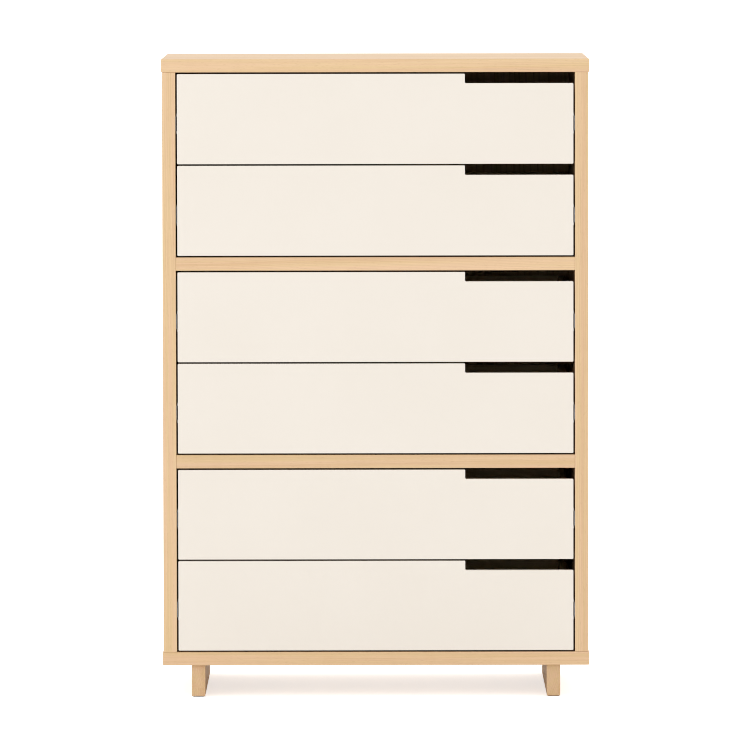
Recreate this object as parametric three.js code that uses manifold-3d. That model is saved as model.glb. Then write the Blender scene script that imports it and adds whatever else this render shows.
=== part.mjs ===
// A tall chest of six drawers. A maple case is divided into three bays, and each bay holds two drawers whose
// lacquered fronts are set flush into it. Every front has a finger notch cut out of its top edge, at its
// right-hand end. The drawers run on two-part steel ball-bearing slides, and the case stands on two plank legs
// that run from front to back.
//
// Millimetres. +Z is up, the drawers open towards -Y, and +X is to the right of someone who faces them.
// The origin is on the floor, under the middle of the chest.

import * as THREE from "three";
import { mergeVertices } from "three/addons/utils/BufferGeometryUtils.js";
import Module from "manifold-3d";

const wasm = await Module();
wasm.setup();

// ---- Driving dimensions ----

const DEPTH = 510; // front edge to back edge of the case
const CASE_WIDTH = 896; // over the two sides
const PANEL = 28; // thickness of every case panel and of the legs
const END_OVERHANG = 2; // the top and bottom panels pass the sides by this much at each end

const BAYS = 3;
const DRAWERS_PER_BAY = 2;

const FRONT_HEIGHT = 189.25;
const FRONT_THICKNESS = 19;
const FRONT_GAP = 3.5; // the shadow gap round every front
const FRONT_CORNER = 2; // radius of a front's corners

const NOTCH_LENGTH = 228; // finger notch, from the right-hand end of the front
const NOTCH_DEPTH = 20;
const NOTCH_CORNER = 3;

const LEG_HEIGHT = 66;
const LEG_SPACING = 750; // between the middles of the two legs
const LEG_FRONT_SETBACK = 8;
const LEG_BACK_SETBACK = 12;
const PAD_SIZE = { width: 24, length: 40, thickness: 2, corner: 4 };
const PAD_INSET = 10; // from the end of the leg

const RABBET_WIDTH = 10; // the step in the case's back edges that takes the back panel
const RABBET_DEPTH = 8;
const BACK_THICKNESS = 6;
const BACK_CLEARANCE = 0.5; // round the edge of the back panel

const SLIDE_SPACE = 13; // between the side of the case and the side of a drawer box
const SLIDE_LENGTH = 450;
const SLIDE_SETBACK = 2; // a slide starts this far behind the front
const SLIDE_METAL = 1.5;
const CASE_RAIL = { height: 45, reach: 10.5, lip: 3 };
const DRAWER_RAIL = { height: 34, reach: 9 };

const BOX_DEPTH = 450;
const BOX_HEIGHT = 145;
const BOX_LIFT = 12; // the box's lower edge above the front's lower edge
const BOX_WALL = 12;
const GROOVE_LIFT = 10; // the groove for the drawer bottom, above the box's lower edge
const GROOVE_HEIGHT = 6.5;
const GROOVE_DEPTH = 6;
const BOTTOM_THICKNESS = 6;
const BOTTOM_CLEARANCE = 0.5; // at each edge of the drawer bottom, inside the groove

const ARC_STEPS = 4; // straight steps in each rounded corner

// ---- Sizes and levels that follow from them ----

const FRONT_Y = -DEPTH / 2;
const BACK_Y = DEPTH / 2;
const RABBET_Y = BACK_Y - RABBET_DEPTH;
const OPENING_WIDTH = CASE_WIDTH - 2 * PANEL;
const BAY_HEIGHT = DRAWERS_PER_BAY * FRONT_HEIGHT + (DRAWERS_PER_BAY + 1) * FRONT_GAP;
const SIDE_HEIGHT = BAYS * BAY_HEIGHT + (BAYS - 1) * PANEL;
const CASE_Z = PAD_SIZE.thickness + LEG_HEIGHT; // underside of the bottom panel
const FIRST_BAY_Z = CASE_Z + PANEL; // floor of the lowest bay
const SIDE_TOP_Z = FIRST_BAY_Z + SIDE_HEIGHT;
const FRONT_WIDTH = OPENING_WIDTH - 2 * FRONT_GAP;
const BOX_WIDTH = OPENING_WIDTH - 2 * SLIDE_SPACE;
const BOX_FRONT_Y = FRONT_Y + FRONT_THICKNESS;
const SLIDE_Z = BOX_LIFT + BOX_HEIGHT / 2; // middle of a slide above the front's lower edge

// ---- Materials ----

const material = (color, roughness, metalness = 0) =>
  new THREE.MeshStandardMaterial({ color, roughness, metalness });

const maple = material(0xe8ca9f, 0.5);
const creamLacquer = material(0xf5ede2, 0.35);
const birchPly = material(0xe3cfa6, 0.6);
const backPly = material(0xd9bf92, 0.65);
const zincSteel = material(0xb9bcc0, 0.35, 0.9);
const felt = material(0x6b6259, 0.95);

// ---- Solids and helpers ----

function solidOf(geometry) {
  const bare = geometry.clone();
  bare.deleteAttribute("normal");
  bare.deleteAttribute("uv");
  const merged = mergeVertices(bare);
  const vertProperties = merged.getAttribute("position").array;
  const triVerts = new Uint32Array(merged.index.array);
  return new wasm.Manifold(new wasm.Mesh({ numProp: 3, vertProperties, triVerts }));
}

function subtract(geometry, tool) {
  const { vertProperties, triVerts } = solidOf(geometry).subtract(solidOf(tool)).getMesh();
  const result = new THREE.BufferGeometry();
  result.setAttribute("position", new THREE.BufferAttribute(vertProperties, 3));
  result.setIndex(new THREE.BufferAttribute(triVerts, 1));
  result.computeVertexNormals();
  return result;
}

// A closed outline through corners of [x, y, radius], where every turn is a right angle.
function squareOutline(corners) {
  const outline = new THREE.Shape();
  const at = (i) => new THREE.Vector2(...corners[(i + corners.length) % corners.length]);
  corners.forEach(([x, y, radius], i) => {
    const corner = at(i);
    const arriving = corner.clone().sub(at(i - 1)).normalize();
    const leaving = at(i + 1).sub(corner).normalize();
    const centre = corner.clone().addScaledVector(arriving, -radius).addScaledVector(leaving, radius);
    const from = leaving.clone().negate().angle();
    if (radius > 0) {
      outline.absarc(centre.x, centre.y, radius, from, arriving.angle(), arriving.cross(leaving) < 0);
    } else if (i === 0) {
      outline.moveTo(x, y);
    } else {
      outline.lineTo(x, y);
    }
  });
  outline.closePath();
  return outline;
}

function rectangle(width, height, radius = 0) {
  const x = width / 2;
  const y = height / 2;
  return squareOutline([[-x, -y, radius], [x, -y, radius], [x, y, radius], [-x, y, radius]]);
}

// Extrudes an outline straight up, from z = 0.
function extrudeUp(outline, height) {
  return new THREE.ExtrudeGeometry(outline, { depth: height, bevelEnabled: false, curveSegments: ARC_STEPS });
}

// Extrudes an outline drawn in x and z forwards, from y = 0 to y = -length.
function extrudeForward(outline, length) {
  return extrudeUp(outline, length).rotateX(Math.PI / 2);
}

function part(name, geometry, finish, x, y, z) {
  const mesh = new THREE.Mesh(geometry, finish);
  mesh.name = name;
  mesh.position.set(x, y, z);
  return mesh;
}

// ---- Case ----

// The space that the back panel's rabbet takes out of the case, as a box about the case's own middle.
const rabbetHeight = SIDE_HEIGHT + 2 * RABBET_WIDTH;
const rabbetTool = new THREE.BoxGeometry(OPENING_WIDTH + 2 * RABBET_WIDTH, 2 * RABBET_DEPTH, rabbetHeight)
  .translate(0, BACK_Y, FIRST_BAY_Z + SIDE_HEIGHT / 2);

function rabbetedPanel(name, width, height, x, z) {
  const board = new THREE.BoxGeometry(width, DEPTH, height).translate(x, 0, z);
  const cut = subtract(board, rabbetTool).translate(-x, 0, -z);
  return part(name, cut, maple, x, 0, z);
}

function makeCase() {
  const group = new THREE.Group();
  const endWidth = CASE_WIDTH + 2 * END_OVERHANG;
  const sideX = (CASE_WIDTH - PANEL) / 2;
  const sideZ = FIRST_BAY_Z + SIDE_HEIGHT / 2;
  group.add(
    rabbetedPanel("top_panel", endWidth, PANEL, 0, SIDE_TOP_Z + PANEL / 2),
    rabbetedPanel("bottom_panel", endWidth, PANEL, 0, CASE_Z + PANEL / 2),
    rabbetedPanel("left_side", PANEL, SIDE_HEIGHT, -sideX, sideZ),
    rabbetedPanel("right_side", PANEL, SIDE_HEIGHT, sideX, sideZ),
  );

  const dividerDepth = DEPTH - RABBET_DEPTH;
  ["lower_divider", "upper_divider"].forEach((name, i) => {
    const board = new THREE.BoxGeometry(OPENING_WIDTH, dividerDepth, PANEL);
    const z = FIRST_BAY_Z + (i + 1) * BAY_HEIGHT + (i + 0.5) * PANEL;
    group.add(part(name, board, maple, 0, (FRONT_Y + RABBET_Y) / 2, z));
  });

  const backWidth = OPENING_WIDTH + 2 * (RABBET_WIDTH - BACK_CLEARANCE);
  const backHeight = rabbetHeight - 2 * BACK_CLEARANCE;
  const back = new THREE.BoxGeometry(backWidth, BACK_THICKNESS, backHeight);
  group.add(part("back_panel", back, backPly, 0, RABBET_Y + BACK_THICKNESS / 2, sideZ));
  return group;
}

// ---- Legs ----

function makeLeg(side, sign) {
  const group = new THREE.Group();
  const length = DEPTH - LEG_FRONT_SETBACK - LEG_BACK_SETBACK;
  const y = (LEG_FRONT_SETBACK - LEG_BACK_SETBACK) / 2;
  const plank = new THREE.BoxGeometry(PANEL, length, LEG_HEIGHT);
  group.add(part(`${side}_leg`, plank, maple, 0, y, PAD_SIZE.thickness + LEG_HEIGHT / 2));

  const padReach = length / 2 - PAD_INSET - PAD_SIZE.length / 2;
  for (const [end, direction] of [["front", -1], ["back", 1]]) {
    const outline = rectangle(PAD_SIZE.width, PAD_SIZE.length, PAD_SIZE.corner);
    const pad = extrudeUp(outline, PAD_SIZE.thickness);
    group.add(part(`${side}_leg_${end}_pad`, pad, felt, 0, y + direction * padReach, 0));
  }
  group.position.x = (sign * LEG_SPACING) / 2;
  return group;
}

// ---- Slides ----

// The section of a slide's part that is screwed to the case: a channel whose two lips hold the balls in. u is
// measured from its mounting face, and v from its middle.
function caseRailOutline(sign) {
  const { height, reach, lip } = CASE_RAIL;
  const v = height / 2;
  const t = SLIDE_METAL;
  const half = [[0, v], [reach, v], [reach, v - lip], [reach - t, v - lip], [reach - t, v - t], [t, v - t]];
  return channelOutline(half, sign);
}

// The section of the part that is screwed to the drawer box: a narrower channel that runs inside the other.
function drawerRailOutline(sign) {
  const { height, reach } = DRAWER_RAIL;
  const v = height / 2;
  const t = SLIDE_METAL;
  return channelOutline([[0, v], [reach, v], [reach, v - t], [t, v - t]], sign);
}

// Closes a channel's upper half with its mirror image. sign says which way u points.
function channelOutline(upperHalf, sign) {
  const lowerHalf = upperHalf.map(([u, v]) => [u, -v]).reverse();
  return new THREE.Shape([...upperHalf, ...lowerHalf].map(([u, v]) => new THREE.Vector2(sign * u, v)));
}

function makeSlide(drawerName, side, sign) {
  const group = new THREE.Group();
  const caseRail = extrudeForward(caseRailOutline(-sign), SLIDE_LENGTH);
  const drawerRail = extrudeForward(drawerRailOutline(sign), SLIDE_LENGTH);
  const backY = BOX_FRONT_Y + SLIDE_SETBACK + SLIDE_LENGTH;
  group.add(
    part(`${drawerName}_${side}_case_rail`, caseRail, zincSteel, (sign * OPENING_WIDTH) / 2, backY, 0),
    part(`${drawerName}_${side}_drawer_rail`, drawerRail, zincSteel, (sign * BOX_WIDTH) / 2, backY, 0),
  );
  group.position.z = SLIDE_Z;
  return group;
}

// ---- Drawers ----

function frontOutline() {
  const x = FRONT_WIDTH / 2;
  const top = FRONT_HEIGHT;
  const r = FRONT_CORNER;
  return squareOutline([
    [-x, 0, r],
    [x, 0, r],
    [x, top - NOTCH_DEPTH, r],
    [x - NOTCH_LENGTH, top - NOTCH_DEPTH, NOTCH_CORNER],
    [x - NOTCH_LENGTH, top, r],
    [-x, top, r],
  ]);
}

// The four glued walls of a drawer box, with a groove round the inside for the bottom.
function boxWalls() {
  const outline = rectangle(BOX_WIDTH, BOX_DEPTH);
  outline.holes.push(rectangle(BOX_WIDTH - 2 * BOX_WALL, BOX_DEPTH - 2 * BOX_WALL));
  const inset = 2 * (BOX_WALL - GROOVE_DEPTH);
  const groove = new THREE.BoxGeometry(BOX_WIDTH - inset, BOX_DEPTH - inset, GROOVE_HEIGHT)
    .translate(0, 0, GROOVE_LIFT + GROOVE_HEIGHT / 2);
  return subtract(extrudeUp(outline, BOX_HEIGHT), groove);
}

// A drawer about the lower edge of its front, with its slides.
function makeDrawer(name) {
  const group = new THREE.Group();
  const boxY = BOX_FRONT_Y + BOX_DEPTH / 2;
  group.add(
    part(`${name}_front`, extrudeForward(frontOutline(), FRONT_THICKNESS), creamLacquer, 0, BOX_FRONT_Y, 0),
    part(`${name}_box`, boxWalls(), birchPly, 0, boxY, BOX_LIFT),
  );

  const inset = 2 * (BOX_WALL - GROOVE_DEPTH + BOTTOM_CLEARANCE);
  const bottom = new THREE.BoxGeometry(BOX_WIDTH - inset, BOX_DEPTH - inset, BOTTOM_THICKNESS);
  const bottomZ = BOX_LIFT + GROOVE_LIFT + GROOVE_HEIGHT / 2;
  group.add(part(`${name}_bottom`, bottom, birchPly, 0, boxY, bottomZ));

  group.add(makeSlide(name, "left", -1), makeSlide(name, "right", 1));
  return group;
}

// ---- Assembly ----

const chest = new THREE.Group();
chest.add(makeCase(), makeLeg("left", -1), makeLeg("right", 1));

// Drawers are numbered from the top, and placed bay by bay from the top bay down.
for (let bay = 0; bay < BAYS; bay++) {
  const bayTop = SIDE_TOP_Z - bay * (BAY_HEIGHT + PANEL);
  for (let row = 0; row < DRAWERS_PER_BAY; row++) {
    const drawer = makeDrawer(`drawer_${bay * DRAWERS_PER_BAY + row + 1}`);
    drawer.position.z = bayTop - (row + 1) * (FRONT_GAP + FRONT_HEIGHT);
    chest.add(drawer);
  }
}

export default chest;
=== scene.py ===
"""The looks of a tall six-drawer chest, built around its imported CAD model.

Metres, in the CAD model's frame: +Z is up, the drawers open towards -Y, and +X is to the right of someone
who faces them. The case panels, legs, pads, fronts and ply panels keep their CAD shapes, with eased edges and
real materials. The drawer boxes and the slides are rebuilt in detail in the places of their CAD nodes.
"""

import math

import bmesh
import bpy
from mathutils import Matrix, Vector


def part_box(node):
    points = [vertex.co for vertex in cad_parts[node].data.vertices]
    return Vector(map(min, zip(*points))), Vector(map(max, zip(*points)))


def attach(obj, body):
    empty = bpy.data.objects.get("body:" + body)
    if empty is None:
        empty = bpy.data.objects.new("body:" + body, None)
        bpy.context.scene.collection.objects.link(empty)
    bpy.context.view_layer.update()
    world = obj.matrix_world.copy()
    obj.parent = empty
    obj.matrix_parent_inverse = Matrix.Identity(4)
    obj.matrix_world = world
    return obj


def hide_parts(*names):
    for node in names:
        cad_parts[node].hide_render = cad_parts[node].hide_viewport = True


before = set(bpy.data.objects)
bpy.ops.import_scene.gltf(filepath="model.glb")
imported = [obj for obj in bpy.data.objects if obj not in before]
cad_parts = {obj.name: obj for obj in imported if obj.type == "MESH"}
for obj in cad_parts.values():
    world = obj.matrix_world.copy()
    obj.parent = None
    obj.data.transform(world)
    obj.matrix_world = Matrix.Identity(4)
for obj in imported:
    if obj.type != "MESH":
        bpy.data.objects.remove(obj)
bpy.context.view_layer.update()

MM = 0.001
DRAWERS = [f"drawer_{number}" for number in range(1, 7)]
SIDES = {"left": -1, "right": 1}

# ---- Places that the CAD model gives ----

top_low, top_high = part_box("top_panel")
FRONT_PLANE_Y = top_low.y
CHEST_MIDDLE = Vector((0, 0, top_high.z / 2))

# ---- Finish colours, linear ----

MAPLE_PALE = (0.742, 0.526, 0.312, 1)
MAPLE_WARM = (0.655, 0.436, 0.240, 1)
MAPLE_LINE = (0.430, 0.250, 0.125, 1)
BIRCH_PALE = (0.760, 0.610, 0.400, 1)
BIRCH_WARM = (0.690, 0.515, 0.310, 1)
BIRCH_LINE = (0.480, 0.310, 0.160, 1)
LACQUER_CREAM = (0.785, 0.727, 0.650, 1)
LACQUER_SHADED = (0.7772, 0.7183, 0.6396, 1)
ZINC_PALE = (0.600, 0.615, 0.640, 1)
ZINC_DULL = (0.530, 0.545, 0.560, 1)
FELT_DARK = (0.110, 0.085, 0.065, 1)
FELT_LIGHT = (0.2310, 0.1785, 0.1365, 1)


# ================================ Node helpers ================================


class Tree:
    """Adds nodes to a shader tree. Most calls return the new node's one output."""

    def __init__(self, tree):
        self.tree = tree

    def node(self, kind, inputs=None, **settings):
        made = self.tree.nodes.new("ShaderNode" + kind)
        for name, value in settings.items():
            setattr(made, name, value)
        for key, value in (inputs or {}).items():
            self.feed(made.inputs[key], value)
        return made

    def feed(self, socket, value):
        if isinstance(value, bpy.types.NodeSocket):
            self.tree.links.new(value, socket)
        else:
            socket.default_value = value

    def math(self, operation, a, b=0.0):
        return self.node("Math", {0: a, 1: b}, operation=operation).outputs[0]

    def add(self, first, *others):
        total = first
        for other in others:
            total = self.math("ADD", total, other)
        return total

    def times(self, a, b):
        return self.math("MULTIPLY", a, b)

    def centred(self, value, width):
        """A value from 0 to 1, moved to lie evenly about 0, over a width."""
        return self.times(self.math("SUBTRACT", value, 0.5), width)

    def smooth(self, value, start, end, low=0.0, high=1.0):
        """Low up to the start, high from the end on, and an easy curve between them."""
        inputs = {"Value": value, "From Min": start, "From Max": end, "To Min": low, "To Max": high}
        return self.node("MapRange", inputs, interpolation_type="SMOOTHSTEP").outputs[0]

    def stretched(self, vector, factors):
        return self.node("VectorMath", {0: vector, 1: factors}, operation="MULTIPLY").outputs[0]

    def split(self, vector):
        return self.node("SeparateXYZ", {0: vector}).outputs

    def join(self, x, y, z):
        return self.node("CombineXYZ", {0: x, 1: y, 2: z}).outputs[0]

    def noise(self, vector, scale=1.0, detail=2.0, roughness=0.5):
        inputs = {"Vector": vector, "Scale": scale, "Detail": detail, "Roughness": roughness}
        return self.node("TexNoise", inputs).outputs["Fac"]

    def line_noise(self, w, scale, detail=1.0):
        inputs = {"W": w, "Scale": scale, "Detail": detail}
        return self.node("TexNoise", inputs, noise_dimensions="1D").outputs["Fac"]

    def random(self, w):
        return self.node("TexWhiteNoise", {"W": w}, noise_dimensions="1D").outputs

    def mix(self, factor, a, b, blend="MIX"):
        made = self.node("Mix", {0: factor}, data_type="RGBA", blend_type=blend)
        for socket, value in zip([socket for socket in made.inputs if socket.type == "RGBA"], (a, b)):
            self.feed(socket, value)
        return next(socket for socket in made.outputs if socket.type == "RGBA")

    def bump(self, height, strength, distance):
        inputs = {"Height": height, "Strength": strength, "Distance": distance}
        return self.node("Bump", inputs).outputs[0]


def new_material(name, **constants):
    """A material with a Principled shader, whose constant values are set on its own sockets."""
    material = bpy.data.materials.new(name)
    material.use_nodes = True
    shader = material.node_tree.nodes["Principled BSDF"]
    for key, value in constants.items():
        shader.inputs[key.replace("_", " ")].default_value = value
    return material, Tree(material.node_tree), shader


# ================================ Wood ================================

# A board's seed moves the joints between its staves, and picks other chances for them.
STAVE_SHIFT = 7.31
CHANCE_SHIFT = 17.3

# Where the pith of a stave's log may lie.
PITH_NEAREST = 0.035  # below the board's origin
PITH_DEEPER = 0.13  # below that, at the most
PITH_ASIDE = 0.15  # from side to side
PITH_ALONG = 6.0  # along the log
PITH_LEAN = 0.06  # its slope to the board, which draws the rings out into arches

# How often each pattern changes in a metre: across the width, through the thickness, and along the grain.
SLOW_BEND = (7, 7, 1.3)
QUICK_BEND = (45, 45, 4)
CLEARNESS = (4, 4, 0.9)
BROAD_FIBRES = (230, 230, 3.5)
FINE_FIBRES = (1500, 1500, 22)
FLECKS = (620, 620, 60)
RIPPLES = (9, 9, 42)
BLUSHES = (95, 95, 1.6)
YEAR_CHANGES = 60.0  # this and the next one, with the distance from the pith
BANDS = 34.0

SLOW_BEND_REACH = 0.020
QUICK_BEND_REACH = 0.0022
YEAR_CHANGE_REACH = 1.6  # rings
LATE_WOOD_START = 0.62  # as a part of a year
LATE_WOOD_END = 0.95

# What each pattern adds to the tone, which runs from pale to warm.
BAND_TONE = 2.0
YEAR_TONE = 0.30
STAVE_TONE = 0.42
BROAD_FIBRE_TONE = 1.5
RIPPLE_TONE = 0.35
TONE_LIMIT = 0.9

LATE_WOOD_DARKNESS = 0.30
FLECK_DARKNESS = 0.24
END_GRAIN_DARKNESS = 0.24
SHADE_BETWEEN_FIBRES = 0.893
FIBRE_SHADE = 0.22  # what a fine fibre adds to it
STREAK_YELLOW = (0.985, 1.008, 0.945, 1)
STREAK_PINK = (1.015, 0.990, 1.050, 1)

WOOD_ROUGHNESS = 0.42
FIBRE_ROUGHNESS = 0.12  # this and the next two add to it
LATE_WOOD_ROUGHNESS = 0.05
END_GRAIN_ROUGHNESS = 0.15
FLECK_SINK = 0.8  # as parts of a fibre's height
LATE_WOOD_SINK = 0.5
WOOD_BUMP = {"strength": 0.12, "distance": 0.3 * MM}

FIGURE_INPUTS = {
    "Place": "Vector", "Normal": "Vector", "Pale": "Color", "Warm": "Color", "Line": "Color",
    "Stave": "Float", "Ring": "Float", "Seed": "Float", "Boldness": "Float", "Tone_And_Painted_Shade": "Float",
}
FIGURE_OUTPUTS = {"Color": "Color", "Roughness": "Float", "Height": "Float"}


def wood_figure():
    """The figure of sawn wood. X runs across a board's width, Y through its thickness and Z along its grain.

    A panel is glued from staves. Each stave is cut from its own place in a log, so that the log's rings meet
    the surface as long arches or straight lines, and its ends show the rings themselves.
    """
    group = bpy.data.node_groups.new("wood_figure", "ShaderNodeTree")
    for name, kind in FIGURE_INPUTS.items():
        group.interface.new_socket(name, in_out="INPUT", socket_type="NodeSocket" + kind)
    for name, kind in FIGURE_OUTPUTS.items():
        group.interface.new_socket(name, in_out="OUTPUT", socket_type="NodeSocket" + kind)
    t = Tree(group)
    given = group.nodes.new("NodeGroupInput").outputs
    x, y, z = t.split(given["Place"])

    # Which stave this is, and where its log's pith lay.
    across = t.add(t.math("DIVIDE", x, given["Stave"]), t.times(given["Seed"], STAVE_SHIFT))
    stave = t.math("FLOOR", across)
    chance = t.random(t.add(stave, t.times(given["Seed"], CHANCE_SHIFT)))
    chance_aside, chance_deeper, chance_along = t.split(chance["Color"])
    chance_lean = chance["Value"]
    in_stave = t.centred(t.math("FRACT", across), given["Stave"])
    beside = t.add(in_stave, t.centred(chance_aside, PITH_ASIDE))
    along = t.add(z, t.times(chance_along, PITH_ALONG))
    deep = t.add(t.times(chance_deeper, PITH_DEEPER), PITH_NEAREST)
    below = t.add(deep, t.times(z, t.centred(chance_lean, PITH_LEAN)), y)

    # The distance from the pith, bent a little as trees grow.
    place = t.join(beside, y, along)
    straight = t.math("SQRT", t.add(t.math("POWER", beside, 2), t.math("POWER", below, 2)))
    slow = t.noise(t.stretched(place, SLOW_BEND))
    quick = t.noise(t.stretched(place, QUICK_BEND))
    reach = t.add(straight, t.centred(slow, SLOW_BEND_REACH), t.centred(quick, QUICK_BEND_REACH))

    # Growth rings: a thin darker line ends each year, and some years are darker than others.
    changes = t.times(t.line_noise(reach, YEAR_CHANGES), YEAR_CHANGE_REACH)
    year = t.add(t.math("DIVIDE", reach, given["Ring"]), changes)
    part_of_year = t.math("FRACT", year)
    year_chance = t.random(t.math("FLOOR", year))["Value"]
    rise = t.smooth(part_of_year, LATE_WOOD_START, LATE_WOOD_END)
    ring = t.times(rise, t.smooth(part_of_year, LATE_WOOD_END, 1.0, 1.0, 0.0))
    clear = t.noise(t.stretched(place, CLEARNESS), detail=1)
    late = t.times(ring, t.smooth(clear, 0.35, 0.75, 0.25, 1.0))

    # Fibres, flecks, and the slow ripple that maple shows across the grain.
    broad_fibre = t.noise(t.stretched(place, BROAD_FIBRES), detail=4, roughness=0.6)
    fine_fibre = t.noise(t.stretched(place, FINE_FIBRES), detail=2, roughness=0.6)
    fleck_cells = t.node("TexVoronoi", {"Vector": t.stretched(place, FLECKS), "Scale": 1.0})
    fleck = t.smooth(fleck_cells.outputs["Distance"], 0.10, 0.28, 1.0, 0.0)
    band = t.line_noise(reach, BANDS, detail=2.0)
    ripple = t.noise(t.stretched(place, RIPPLES), detail=1)

    # Tone from pale to warm, then the lines, fibres and flecks on top.
    tone = t.add(
        t.centred(band, BAND_TONE),
        t.centred(year_chance, YEAR_TONE),
        t.centred(chance_lean, STAVE_TONE),
        t.centred(broad_fibre, BROAD_FIBRE_TONE),
        t.centred(ripple, RIPPLE_TONE),
    )
    tone = t.times(tone, given["Boldness"])
    colour = t.mix(t.smooth(tone, -TONE_LIMIT, TONE_LIMIT), given["Pale"], given["Warm"])
    colour = t.mix(t.times(t.times(late, LATE_WOOD_DARKNESS), given["Boldness"]), colour, given["Line"])
    colour = t.mix(t.times(fleck, FLECK_DARKNESS), colour, given["Line"])
    # The board's darkening multiplies in here: its own tone, with painted shade in it where a board is set
    # darker for the light.
    tone_and_painted_shade = t.times(t.add(t.times(fine_fibre, FIBRE_SHADE), SHADE_BETWEEN_FIBRES), given["Tone_And_Painted_Shade"])
    colour = t.mix(1.0, colour, t.join(tone_and_painted_shade, tone_and_painted_shade, tone_and_painted_shade), "MULTIPLY")

    # Some streaks blush pink and others run yellow.
    blush = t.noise(t.stretched(place, BLUSHES), detail=3, roughness=0.55)
    colour = t.mix(1.0, colour, t.mix(t.smooth(blush, 0.3, 0.7), STREAK_YELLOW, STREAK_PINK), "MULTIPLY")

    # A cut across the grain drinks more finish, so that it is darker and duller.
    facing = t.math("ABSOLUTE", t.split(given["Normal"])[2])
    end_grain = t.smooth(facing, 0.45, 0.9)
    colour = t.mix(end_grain, colour, t.mix(END_GRAIN_DARKNESS, colour, given["Line"]))

    roughness = t.add(
        t.times(fine_fibre, FIBRE_ROUGHNESS),
        WOOD_ROUGHNESS,
        t.times(late, LATE_WOOD_ROUGHNESS),
        t.times(end_grain, END_GRAIN_ROUGHNESS),
    )
    height = t.math("SUBTRACT", fine_fibre, t.times(fleck, FLECK_SINK))
    height = t.math("SUBTRACT", height, t.times(late, LATE_WOOD_SINK))
    result = group.nodes.new("NodeGroupOutput")
    t.feed(result.inputs["Color"], colour)
    t.feed(result.inputs["Roughness"], roughness)
    t.feed(result.inputs["Height"], height)
    return group


FIGURE = wood_figure()
MAPLE = {"Pale": MAPLE_PALE, "Warm": MAPLE_WARM, "Line": MAPLE_LINE}
BIRCH = {"Pale": BIRCH_PALE, "Warm": BIRCH_WARM, "Line": BIRCH_LINE}


def wood(name, colours, grain, face, seed,
         stave=0.11, ring=0.0034, coat=0.12, gloss=0.3, boldness=1.0, tone_and_painted_shade=1.0):
    """Wood with its grain along one axis, and its wide face square to another."""
    material, t, shader = new_material(name, Coat_Weight=coat, Coat_Roughness=0.35, Specular_IOR_Level=gloss)
    width = ({"x", "y", "z"} - {grain, face}).pop()
    coordinates = t.node("TexCoord").outputs

    def board(vector):
        parts = dict(zip("xyz", t.split(vector)))
        return t.join(parts[width], parts[face], parts[grain])

    figure = t.tree.nodes.new("ShaderNodeGroup")
    figure.node_tree = FIGURE
    # The board's darkening takes in its own tone and painted shade, where a board is set darker for how the
    # light falls on it.
    inputs = {"Place": board(coordinates["Object"]), "Normal": board(coordinates["Normal"]), "Stave": stave,
              "Ring": ring, "Seed": seed, "Boldness": boldness, "Tone_And_Painted_Shade": tone_and_painted_shade}
    for key, value in (inputs | colours).items():
        t.feed(figure.inputs[key], value)
    t.feed(shader.inputs["Base Color"], figure.outputs["Color"])
    t.feed(shader.inputs["Roughness"], figure.outputs["Roughness"])
    t.feed(shader.inputs["Normal"], t.bump(figure.outputs["Height"], **WOOD_BUMP))
    return material


# ================================ Other finishes ================================


def cream_lacquer():
    """Sprayed satin lacquer: an even cream with the faint ripple of spray."""
    material, t, shader = new_material("cream_lacquer", Coat_Weight=0.35, Coat_Roughness=0.22,
                                       Specular_IOR_Level=0.45)
    place = t.node("TexCoord").outputs["Object"]
    cloud = t.noise(place, scale=5.0, detail=3.0)
    speck = t.noise(place, scale=900.0, detail=1.0)
    ripple = t.noise(place, scale=420.0)
    t.feed(shader.inputs["Base Color"], t.mix(t.smooth(cloud, 0.3, 0.7), LACQUER_CREAM, LACQUER_SHADED))
    t.feed(shader.inputs["Roughness"], t.add(0.34, t.times(cloud, 0.08), t.times(speck, 0.03)))
    t.feed(shader.inputs["Normal"], t.bump(ripple, strength=0.06, distance=0.2 * MM))
    return material


def zinc_steel():
    """Rolled steel strip with bright zinc plating: drawn lines along the strip and a patchy dull bloom."""
    material, t, shader = new_material("zinc_steel", Metallic=1.0, Specular_IOR_Level=0.5, Anisotropic=0.3)
    place = t.node("TexCoord").outputs["Object"]
    bloom = t.noise(place, scale=22.0, detail=3.0)
    drawn = t.noise(t.stretched(place, (2600, 14, 2600)))
    t.feed(shader.inputs["Base Color"], t.mix(t.smooth(bloom, 0.35, 0.7), ZINC_PALE, ZINC_DULL))
    t.feed(shader.inputs["Roughness"], t.add(0.22, t.times(bloom, 0.10), t.times(drawn, 0.10)))
    t.feed(shader.inputs["Normal"], t.bump(drawn, strength=0.12, distance=0.1 * MM))
    return material


def felt():
    """Pressed wool felt: short tangled fibres, with lighter ones among them."""
    material, t, shader = new_material("felt", Roughness=0.95, Sheen_Weight=0.35, Sheen_Roughness=0.5)
    place = t.node("TexCoord").outputs["Object"]
    tangle = t.noise(place, scale=1700.0, detail=5.0, roughness=0.7)
    t.feed(shader.inputs["Base Color"], t.mix(t.smooth(tangle, 0.42, 0.7), FELT_DARK, FELT_LIGHT))
    t.feed(shader.inputs["Normal"], t.bump(tangle, strength=0.7, distance=0.6 * MM))
    return material


LACQUER = cream_lacquer()
ZINC = zinc_steel()
FELT = felt()
BOX_END_WOOD = wood("birch_box_ends", BIRCH, "x", "y", seed=3.1, stave=0.5, coat=0.1)
BOX_SIDE_WOOD = wood("birch_box_sides", BIRCH, "y", "x", seed=5.7, stave=0.5, coat=0.1)
BOTTOM_PLY = wood("birch_bottom_ply", BIRCH, "x", "z", seed=8.3, stave=0.42, ring=0.006, coat=0.1)
BACK_PLY = wood("maple_back_ply", MAPLE, "z", "y", seed=2.9, stave=0.31, ring=0.0055, coat=0.1)


# ================================ Mesh helpers ================================


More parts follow.
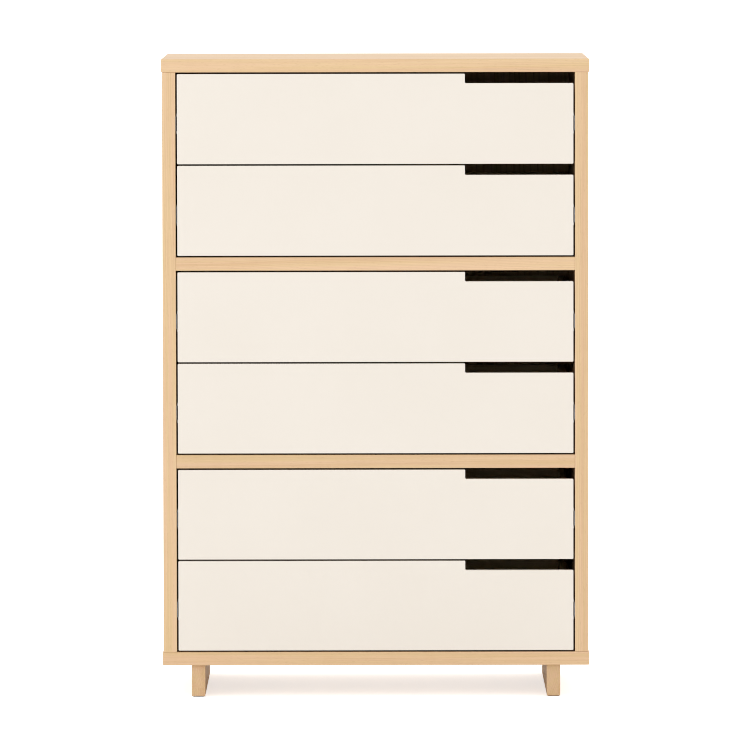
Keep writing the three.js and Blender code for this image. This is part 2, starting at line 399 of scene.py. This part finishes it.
def new_object(name, mesh):
    piece = bpy.data.objects.new(name, mesh)
    bpy.context.scene.collection.objects.link(piece)
    return piece


def settle(piece):
    """Applies a piece's modifiers, and returns its final mesh. The piece itself goes."""
    graph = bpy.context.evaluated_depsgraph_get()
    mesh = bpy.data.meshes.new_from_object(piece.evaluated_get(graph))
    bpy.data.objects.remove(piece)
    return mesh


def mesh_of(bm):
    bmesh.ops.recalc_face_normals(bm, faces=bm.faces)
    mesh = bpy.data.meshes.new("shape")
    bm.to_mesh(mesh)
    bm.free()
    return mesh


AXIS_PLACES = {"x": lambda a, b, c: (c, a, b), "y": lambda a, b, c: (a, c, b), "z": lambda a, b, c: (a, b, c)}


def prism(outline, axis, start, end):
    """A closed mesh: an outline in the plane square to an axis, drawn out along it from start to end."""
    place = AXIS_PLACES[axis]
    bm = bmesh.new()
    rings = [[bm.verts.new(place(a, b, c)) for a, b in outline] for c in (start, end)]
    bm.faces.new(rings[0])
    bm.faces.new(rings[1])
    for i in range(len(outline)):
        j = (i + 1) % len(outline)
        bm.faces.new((rings[0][i], rings[0][j], rings[1][j], rings[1][i]))
    return mesh_of(bm)


def block(low, high):
    outline = [(low[0], low[1]), (high[0], low[1]), (high[0], high[1]), (low[0], high[1])]
    return prism(outline, "z", low[2], high[2])


def rounded_path(points, reach, steps=4):
    """The points as a path with curved corners. Each curve starts and ends a short reach from its corner."""
    path = [Vector(points[0])]
    for before, corner, after in zip(points, points[1:], points[2:]):
        corner = Vector(corner)
        back = Vector(before) - corner
        ahead = Vector(after) - corner
        room = min(reach, 0.49 * back.length, 0.49 * ahead.length)
        start = corner + room * back.normalized()
        end = corner + room * ahead.normalized()
        for step in range(steps + 1):
            t = step / steps
            path.append((1 - t) ** 2 * start + 2 * t * (1 - t) * corner + t ** 2 * end)
    return path + [Vector(points[-1])]


def sheet_outline(points, reach, thickness):
    """The section of a bent sheet of metal whose middle follows the points."""
    path = rounded_path(points, reach)
    left = []
    right = []
    for i, point in enumerate(path):
        ahead = path[min(i + 1, len(path) - 1)] - path[max(i - 1, 0)]
        aside = Vector((-ahead.y, ahead.x)).normalized() * thickness / 2
        left.append(tuple(point + aside))
        right.append(tuple(point - aside))
    return left + right[::-1]


def slot_outline(length, width, steps=6):
    """A slot's outline about the origin, with round ends, its length along the first axis."""
    radius = width / 2
    straight = (length - width) / 2
    outline = []
    for end, turn in ((straight, -math.pi / 2), (-straight, math.pi / 2)):
        for step in range(steps + 1):
            angle = turn + math.pi * step / steps
            outline.append((end + radius * math.cos(angle), radius * math.sin(angle)))
    return outline


def lathe(profile, steps=24):
    """A closed mesh: a profile of (radius, height) that starts and ends on the axis, turned about Z."""
    bm = bmesh.new()
    rings = []
    for radius, height in profile:
        if radius == 0:
            rings.append([bm.verts.new((0, 0, height))] * steps)
            continue
        angles = [math.tau * step / steps for step in range(steps)]
        rings.append([bm.verts.new((radius * math.cos(a), radius * math.sin(a), height)) for a in angles])
    for low, high in zip(rings, rings[1:]):
        for i in range(steps):
            j = (i + 1) % steps
            corners = dict.fromkeys((low[i], low[j], high[j], high[i]))
            bm.faces.new(list(corners))
    return mesh_of(bm)


def joined(meshes):
    bm = bmesh.new()
    for mesh in meshes:
        bm.from_mesh(mesh)
    result = bpy.data.meshes.new("shape")
    bm.to_mesh(result)
    bm.free()
    return result


def cut(mesh, tool):
    """The first closed mesh with the second taken out of it."""
    body = new_object("body", mesh)
    knife = new_object("knife", tool)
    boolean = body.modifiers.new("cut", "BOOLEAN")
    boolean.operation = "DIFFERENCE"
    boolean.solver = "EXACT"
    boolean.object = knife
    bpy.context.view_layer.update()
    result = settle(body)
    bpy.data.objects.remove(knife)
    return result


WELD_DISTANCE = 0.02 * MM
SHARP_CORNER = math.radians(30)


def add_easing(piece, width, segments):
    """Rounds a piece's sharp edges. The flat faces keep flat shading."""
    weld = piece.modifiers.new("weld", "WELD")
    weld.merge_threshold = WELD_DISTANCE
    bevel = piece.modifiers.new("ease", "BEVEL")
    bevel.width = width
    bevel.segments = segments
    bevel.limit_method = "ANGLE"
    bevel.angle_limit = SHARP_CORNER
    bevel.harden_normals = True
    bevel.miter_outer = "MITER_ARC"


def eased(mesh, width):
    for face in mesh.polygons:
        face.use_smooth = True
    piece = new_object("eased", mesh)
    add_easing(piece, width, segments=2)
    bpy.context.view_layer.update()
    return settle(piece)


def moved(mesh, offset, mirror_x=False):
    """A copy of a mesh, moved, and mirrored left to right first if asked."""
    copy = mesh.copy()
    matrix = Matrix.Translation(offset)
    if mirror_x:
        matrix = matrix @ Matrix.Scale(-1, 4, (1, 0, 0))
    copy.transform(matrix)
    if mirror_x:
        copy.flip_normals()
    return copy


def add_piece(name, mesh, material, body, replaces=None):
    """One finished piece: its mesh, its finish, and the body it rides on."""
    mesh.materials.clear()
    mesh.materials.append(material)
    mesh.name = name
    piece = new_object(name, mesh)
    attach(piece, body)
    if replaces:
        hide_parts(replaces)
    return piece


# ================================ CAD nodes that keep their shape ================================

PANEL_EASING = 1.3 * MM
LEG_EASING = 0.6 * MM
FRONT_EASING = 0.6 * MM
BACK_EASING = 0.4 * MM
PAD_EASING = 0.4 * MM
BOTTOM_EASING = 0.3 * MM

# Painted shade and tone: the right side is set darker, as if the light came from the left, and the lower
# divider darker as well.
CASE_BOARDS = [
    # node, grain, wide face, seed, darkening (the board's tone, with painted shade in it)
    ("top_panel", "x", "z", 1.0, 1.0),
    ("bottom_panel", "x", "z", 2.2, 1.0),
    ("left_side", "z", "x", 3.4, 1.0),
    ("right_side", "z", "x", 4.6, 0.985),
    ("upper_divider", "x", "z", 5.1, 1.0),
    ("lower_divider", "x", "z", 6.3, 0.965),
]
# Painted shade: the right leg is set darker, as if the light came from the left.
LEGS = [
    # node, seed, darkening (the leg's tone, with painted shade in it)
    ("left_leg", 7.5, 1.0),
    ("right_leg", 8.2, 0.94),
]
# The legs are duller than the case, and their figure is bolder.
LEG_FINISH = {"coat": 0.0, "gloss": 0.1, "boldness": 1.6}


def finish_node(name, material, easing, segments=2):
    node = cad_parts[name]
    node.data.materials.clear()
    node.data.materials.append(material)
    add_easing(node, easing, segments)


for name, grain, face, seed, tone_and_painted_shade in CASE_BOARDS:
    finish_node(name, wood("maple_" + name, MAPLE, grain, face, seed, tone_and_painted_shade=tone_and_painted_shade), PANEL_EASING, 3)
for name, seed, tone_and_painted_shade in LEGS:
    finish_node(name, wood("maple_" + name, MAPLE, "y", "x", seed, tone_and_painted_shade=tone_and_painted_shade, **LEG_FINISH), LEG_EASING, 3)
finish_node("back_panel", BACK_PLY, BACK_EASING)
for side in SIDES:
    for end in ("front", "back"):
        finish_node(f"{side}_leg_{end}_pad", FELT, PAD_EASING)
for drawer in DRAWERS:
    finish_node(f"{drawer}_front", LACQUER, FRONT_EASING, 4)
    finish_node(f"{drawer}_bottom", BOTTOM_PLY, BOTTOM_EASING)


# ================================ Screws ================================

HEAD_RADIUS = 4 * MM
HEAD_HEIGHT = 1.9 * MM
HEAD_RIM = 0.28  # the straight part of a head's side, as a part of its height
HEAD_FLAT = 0.62  # where a head starts to curve down, as a part of its radius
RECESS_WIDTH = 0.45 * MM  # from the middle to each side of an arm
RECESS_REACH = 2.2 * MM
RECESS_DEPTH = 1.2 * MM
HEAD_CREASE = math.radians(35)
SCREW_TURN = 2.4  # radians, from each screw to the next


def screw_head(steps=6):
    """A pan head with a cross recess, standing on z = 0."""
    profile = [(0, 0), (HEAD_RADIUS, 0), (HEAD_RADIUS, HEAD_RIM * HEAD_HEIGHT)]
    for step in range(1, steps):
        angle = math.pi / 2 * step / steps
        out = HEAD_FLAT + (1 - HEAD_FLAT) * math.cos(angle)
        up = HEAD_RIM + (1 - HEAD_RIM) * math.sin(angle)
        profile.append((HEAD_RADIUS * out, HEAD_HEIGHT * up))
    profile.append((0, HEAD_HEIGHT))
    head = lathe(profile)
    for width, reach in ((RECESS_WIDTH, RECESS_REACH), (RECESS_REACH, RECESS_WIDTH)):
        arm = block((-width, -reach, HEAD_HEIGHT - RECESS_DEPTH), (width, reach, 2 * HEAD_HEIGHT))
        head = cut(head, arm)
    head.set_sharp_from_angle(angle=HEAD_CREASE)
    return head


SCREW_HEAD = screw_head()
DIRECTIONS = {"+x": (1, 0, 0), "-x": (-1, 0, 0), "+y": (0, 1, 0), "+z": (0, 0, 1)}


def screws(places, facing):
    """One mesh of screw heads, each at its place and facing along an axis. No two are turned alike."""
    stand = Vector(DIRECTIONS[facing]).to_track_quat("Z", "Y").to_matrix().to_4x4()
    heads = []
    for i, place in enumerate(places):
        head = SCREW_HEAD.copy()
        head.transform(Matrix.Translation(place) @ stand @ Matrix.Rotation(SCREW_TURN * i, 4, "Z"))
        heads.append(head)
    return joined(heads)


# ================================ Drawer boxes ================================

BOX_WALL = 12 * MM
BOX_EASING = 0.5 * MM
GROOVE_LIFT = 10 * MM
GROOVE_HEIGHT = 6.5 * MM
GROOVE_DEPTH = 6 * MM
TAILS = 5
TAIL_END = 19 * MM  # a tail's width at the end of its board
TAIL_ROOT = 15 * MM
JOINT_GAP = 0.08 * MM
CUT_PAST = 1 * MM  # how far the sockets' cutting tools pass the board
FRONT_SCREWS_ACROSS = (-0.85, -0.3, 0.3, 0.85)  # as parts of half the box's width
FRONT_SCREWS_UP = (0.3, 0.8)  # as parts of the box's height


def tail_outlines(end_y, root_y, low_z, high_z, gap):
    """The tails at one end of a side board, each as four corners in y and z."""
    pitch = (high_z - low_z) / TAILS
    root = TAIL_ROOT / 2 - gap
    end = TAIL_END / 2 - gap
    tails = []
    for i in range(TAILS):
        middle = low_z + (i + 0.5) * pitch
        lower = [(root_y, middle - root), (end_y, middle - end)]
        upper = [(end_y, middle + end), (root_y, middle + root)]
        tails.append(lower + upper)
    return tails


def grooved(board, board_z, low_corner, high_corner):
    """A board with its groove cut between two corners in x and y, and its edges eased."""
    floor = board_z + GROOVE_LIFT
    groove = block((*low_corner, floor), (*high_corner, floor + GROOVE_HEIGHT))
    return eased(cut(board, groove), BOX_EASING)


def side_board(low, high):
    """The left wall of a drawer box, with tails at both ends and a groove along its inner face."""
    front_root = low.y + BOX_WALL
    back_root = high.y - BOX_WALL
    outline = [(front_root, low.z), (back_root, low.z)]
    for tail in tail_outlines(high.y, back_root, low.z, high.z, JOINT_GAP):
        outline += tail
    outline += [(back_root, high.z), (front_root, high.z)]
    for tail in reversed(tail_outlines(low.y, front_root, low.z, high.z, JOINT_GAP)):
        outline += reversed(tail)
    board = prism(outline, "x", low.x, low.x + BOX_WALL)
    inset = BOX_WALL - GROOVE_DEPTH
    return grooved(board, low.z, (low.x + inset, low.y + inset), (low.x + 2 * BOX_WALL, high.y - inset))


def end_board(low, high):
    """The front wall of a drawer box, with sockets at both ends for the tails, and its groove."""
    board = block(low, (high.x, low.y + BOX_WALL, high.z))
    sockets = []
    for start, end in ((low.x - CUT_PAST, low.x + BOX_WALL), (high.x - BOX_WALL, high.x + CUT_PAST)):
        for tail in tail_outlines(low.y - CUT_PAST, low.y + BOX_WALL, low.z, high.z, 0):
            (root_y, root_low), _, _, (_, root_high) = tail
            past_root = [(root_y + CUT_PAST, root_low), *tail, (root_y + CUT_PAST, root_high)]
            sockets.append(prism(past_root, "x", start, end))
    board = cut(board, joined(sockets))
    inset = BOX_WALL - GROOVE_DEPTH
    return grooved(board, low.z, (low.x + inset, low.y + inset), (high.x - inset, low.y + 2 * BOX_WALL))


def turned_about(mesh, middle_y):
    """A copy of a mesh, turned half way round the vertical line through the middle of the box."""
    middle = Matrix.Translation((0, middle_y, 0))
    copy = mesh.copy()
    copy.transform(middle @ Matrix.Rotation(math.pi, 4, "Z") @ middle.inverted())
    return copy


def add_drawer_boxes():
    """Four dovetailed boards for each drawer, made once at the first drawer's box and moved to the others."""
    low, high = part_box("drawer_1_box")
    middle_y = (low.y + high.y) / 2
    side = side_board(low, high)
    end = end_board(low, high)
    boards = {
        "left_board": (side, BOX_SIDE_WOOD),
        "right_board": (turned_about(side, middle_y), BOX_SIDE_WOOD),
        "front_board": (end, BOX_END_WOOD),
        "back_board": (turned_about(end, middle_y), BOX_END_WOOD),
    }
    heights = [low.z + up * (high.z - low.z) for up in FRONT_SCREWS_UP]
    places = [(across * high.x, low.y + BOX_WALL, z) for across in FRONT_SCREWS_ACROSS for z in heights]
    front_screws = screws(places, "+y")
    for drawer in DRAWERS:
        drop = (0, 0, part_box(drawer + "_box")[0].z - low.z)
        for name, (mesh, material) in boards.items():
            replaced = drawer + "_box" if name == "left_board" else None
            add_piece(f"{drawer}_{name}", moved(mesh, drop), material, drawer, replaced)
        add_piece(f"{drawer}_front_screws", moved(front_screws, drop), ZINC, drawer)


# ================================ Slides ================================

SHEET = 1.2 * MM
# Half of each section, in millimetres: how far from the mounting face, and how far from the middle.
CASE_RAIL_HALF = [(9.8, 19.6), (9.8, 21.8), (2.3, 21.8), (2.3, 16.5), (0.65, 14.5)]
DRAWER_RAIL_HALF = [(8.3, 16.3), (7.6, 16.3), (6.0, 15.4), (4.4, 16.3), (0.65, 16.3)]
CAGE_HALF = [(8.8, 19.0), (3.4, 19.0)]
RAIL_BEND = 2.0 * MM
SHARP_FOLD = math.radians(40)
CAGE_SHEET = 0.6 * MM
CAGE_START = 6 * MM  # behind the front end of the case rail
CAGE_LENGTH = 100 * MM
BALL_RADIUS = 1.95 * MM
BALLS_IN_ROW = 8
BALL_REACH = 7.0 * MM  # from the side of the case to the middle of a ball
BALL_RISE = 19.0 * MM
SLOT_LENGTH = 14 * MM
SLOT_WIDTH = 4.6 * MM
SCREW_SEAT = SHEET + 0.05 * MM  # from a rail's mounting face to the underside of a screw's head
RAIL_SLOTS = [50, 178, 306, 402]  # millimetres behind the rail's front end, as are the next two
DRAWER_RAIL_SCREWS = [28, 156, 284, 424]
CASE_RAIL_SCREWS = [140, 230, 330, 424]


def channel(half, origin, inwards, thickness, start, end):
    """A bent sheet channel along Y. Its half section is mirrored about its middle."""
    full = half + [(u, -v) for u, v in reversed(half)]
    points = [(inwards * u * MM, v * MM) for u, v in full]
    outline = [(origin[0] + u, origin[1] + v) for u, v in sheet_outline(points, RAIL_BEND, thickness)]
    return prism(outline, "y", start, end)


def with_slots(rail, web_x, middle_z, front_y):
    for distance in RAIL_SLOTS:
        slot = slot_outline(SLOT_LENGTH, SLOT_WIDTH)
        outline = [(front_y + distance * MM + a, middle_z + b) for a, b in slot]
        rail = cut(rail, prism(outline, "x", web_x - 2 * SHEET, web_x + 2 * SHEET))
    rail.set_sharp_from_angle(angle=SHARP_FOLD)
    return rail


def ball_row(x, z, start):
    balls = []
    for i in range(BALLS_IN_ROW):
        bm = bmesh.new()
        bmesh.ops.create_icosphere(bm, subdivisions=3, radius=BALL_RADIUS)
        y = start + CAGE_LENGTH * (i + 0.5) / BALLS_IN_ROW
        bmesh.ops.translate(bm, vec=(x, y, z), verts=bm.verts)
        for face in bm.faces:
            face.smooth = True
        balls.append(mesh_of(bm))
    return balls


def left_slide():
    """The meshes of the first drawer's left slide."""
    case_rail_low, case_rail_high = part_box("drawer_1_left_case_rail")
    case_x = case_rail_low.x
    drawer_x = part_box("drawer_1_left_drawer_rail")[1].x
    front_y = case_rail_low.y
    back_y = case_rail_high.y
    middle_z = (case_rail_low.z + case_rail_high.z) / 2
    case_rail = channel(CASE_RAIL_HALF, (case_x, middle_z), 1, SHEET, front_y, back_y)
    drawer_rail = channel(DRAWER_RAIL_HALF, (drawer_x, middle_z), -1, SHEET, front_y, back_y)
    cage_front = front_y + CAGE_START
    cage = channel(CAGE_HALF, (case_x, middle_z), 1, CAGE_SHEET, cage_front, cage_front + CAGE_LENGTH)
    cage.set_sharp_from_angle(angle=SHARP_FOLD)
    balls = []
    for rise in (BALL_RISE, -BALL_RISE):
        balls += ball_row(case_x + BALL_REACH, middle_z + rise, cage_front)
    case_screws = [(case_x + SCREW_SEAT, front_y + y * MM, middle_z) for y in CASE_RAIL_SCREWS]
    drawer_screws = [(drawer_x - SCREW_SEAT, front_y + y * MM, middle_z) for y in DRAWER_RAIL_SCREWS]
    return {
        "case_rail": with_slots(case_rail, case_x, middle_z, front_y),
        "drawer_rail": with_slots(drawer_rail, drawer_x, middle_z, front_y),
        "ball_cage": cage,
        "balls": joined(balls),
        "case_rail_screws": screws(case_screws, "+x"),
        "drawer_rail_screws": screws(drawer_screws, "-x"),
    }


def add_slides():
    """Two slides for each drawer, made once as the first drawer's left one, then moved and mirrored."""
    first_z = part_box("drawer_1_left_case_rail")[0].z
    for name, mesh in left_slide().items():
        for drawer in DRAWERS:
            body = drawer if name.startswith("drawer_rail") else "case"
            for side, sign in SIDES.items():
                piece = f"{drawer}_{side}_{name}"
                shift = (0, 0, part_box(f"{drawer}_{side}_case_rail")[0].z - first_z)
                copy = moved(mesh, shift, mirror_x=sign > 0)
                replaced = piece if name in ("case_rail", "drawer_rail") else None
                add_piece("steel_" + piece, copy, ZINC, body, replaced)


# ================================ Screws of the case ================================

BACK_SCREW_COLUMNS = 4
BACK_SCREW_ROWS = 6
BACK_SCREW_INSET = 5 * MM  # from the edge of the back panel to the middle of the rabbet
LEG_SCREW_PLACES = (-0.32, 0.0, 0.32)  # from the middle of the case, as parts of its depth


def steps_between(start, end, count):
    return [start + (end - start) * i / (count - 1) for i in range(count)]


def add_back_screws():
    low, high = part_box("back_panel")
    columns = steps_between(low.x + BACK_SCREW_INSET, high.x - BACK_SCREW_INSET, BACK_SCREW_COLUMNS)
    rows = steps_between(low.z + BACK_SCREW_INSET, high.z - BACK_SCREW_INSET, BACK_SCREW_ROWS)
    places = [(x, high.y, z) for x in columns for z in (rows[0], rows[-1])]
    places += [(x, high.y, z) for z in rows[1:-1] for x in (columns[0], columns[-1])]
    for divider in ("upper_divider", "lower_divider"):
        divider_low, divider_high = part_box(divider)
        middle_z = (divider_low.z + divider_high.z) / 2
        places += [(x, high.y, middle_z) for x in columns[1:-1]]
    add_piece("back_panel_screws", screws(places, "+y"), ZINC, "case")


def add_leg_screws():
    panel_low, panel_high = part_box("bottom_panel")
    depth = panel_high.y - panel_low.y
    places = []
    for leg, _, _ in LEGS:
        low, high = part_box(leg)
        places += [((low.x + high.x) / 2, part * depth, panel_high.z) for part in LEG_SCREW_PLACES]
    add_piece("leg_screws", screws(places, "+z"), ZINC, "case")


add_drawer_boxes()
add_slides()
add_back_screws()
add_leg_screws()

# ================================ Stage ================================

CAMERA_DISTANCE = 16.098  # in front of the chest's front
CAMERA_X = -0.0012
CAMERA_HEIGHT = 1.7262
CAMERA_PITCH = 3.7124  # degrees down
CAMERA_ROLL = -0.0968  # degrees
CAMERA_LENS = 367.73  # millimetres
CAMERA_SENSOR = 36  # millimetres
PIXEL_FILTER = 1.0  # pixels, narrower than usual, so that the thin gaps stay crisp

FLOOR_REACH = 400
FLOOR_COLOUR = (0.86, 0.86, 0.86, 1)
FLOOR_GLOW = 0.12  # the floor is a lit table, so that shadows on it stay pale
FLOOR_SEEN_GLOW = 0.50  # a further glow that shows in the picture, but lights nothing
FLOOR_ROUGHNESS = 0.6

SKY_COLOUR = (1, 1, 1, 1)
SKY_LEVEL = 1.03
SKY_TOP_LEVEL = 1.18

KEY_LIGHT_PLACE = (-3.2, -4.6, 3.4)
KEY_LIGHT_SIZE = 2.4
KEY_LIGHT_POWER = 27  # watts


def add_camera():
    camera = bpy.data.objects.new("camera", bpy.data.cameras.new("camera"))
    bpy.context.scene.collection.objects.link(camera)
    camera.data.sensor_width = CAMERA_SENSOR
    camera.data.lens = CAMERA_LENS
    camera.data.clip_end = 2 * FLOOR_REACH
    place = Matrix.Translation((CAMERA_X, FRONT_PLANE_Y - CAMERA_DISTANCE, CAMERA_HEIGHT))
    pitch = Matrix.Rotation(math.radians(90 - CAMERA_PITCH), 4, "X")
    roll = Matrix.Rotation(math.radians(CAMERA_ROLL), 4, "Z")
    camera.matrix_world = place @ pitch @ roll
    bpy.context.scene.camera = camera


def add_floor():
    reach = FLOOR_REACH
    corners = [(-reach, -reach, 0), (reach, -reach, 0), (reach, reach, 0), (-reach, reach, 0)]
    mesh = bpy.data.meshes.new("floor")
    mesh.from_pydata(corners, [], [(0, 1, 2, 3)])
    material, t, shader = new_material("floor", Base_Color=FLOOR_COLOUR, Specular_IOR_Level=0.1,
                                       Emission_Color=(1, 1, 1, 1))
    seen = t.node("LightPath").outputs["Is Camera Ray"]
    t.feed(shader.inputs["Emission Strength"], t.add(t.times(seen, FLOOR_SEEN_GLOW), FLOOR_GLOW))
    cloud = t.noise(t.node("TexCoord").outputs["Object"], scale=3.0)
    t.feed(shader.inputs["Roughness"], t.add(t.times(cloud, 0.1), FLOOR_ROUGHNESS))
    mesh.materials.append(material)
    new_object("floor", mesh)


def add_sky():
    """White all round, and a little brighter overhead."""
    world = bpy.data.worlds.new("studio")
    bpy.context.scene.world = world
    world.use_nodes = True
    t = Tree(world.node_tree)
    background = world.node_tree.nodes["Background"]
    background.inputs["Color"].default_value = SKY_COLOUR
    up = t.split(t.node("TexCoord").outputs["Generated"])[2]
    t.feed(background.inputs["Strength"], t.smooth(up, 0.0, 1.0, SKY_LEVEL, SKY_TOP_LEVEL))


def add_key_light():
    """A square softbox, up to the left in front of the chest and turned to its middle."""
    light = bpy.data.lights.new("key_light", "AREA")
    light.shape = "SQUARE"
    light.size = KEY_LIGHT_SIZE
    light.energy = KEY_LIGHT_POWER
    lamp = bpy.data.objects.new("key_light", light)
    bpy.context.scene.collection.objects.link(lamp)
    lamp.location = KEY_LIGHT_PLACE
    lamp.rotation_euler = (CHEST_MIDDLE - Vector(KEY_LIGHT_PLACE)).to_track_quat("-Z", "Y").to_euler()


add_camera()
add_floor()
add_sky()
add_key_light()
bpy.context.scene.view_settings.view_transform = "Standard"
bpy.context.scene.cycles.filter_width = PIXEL_FILTER
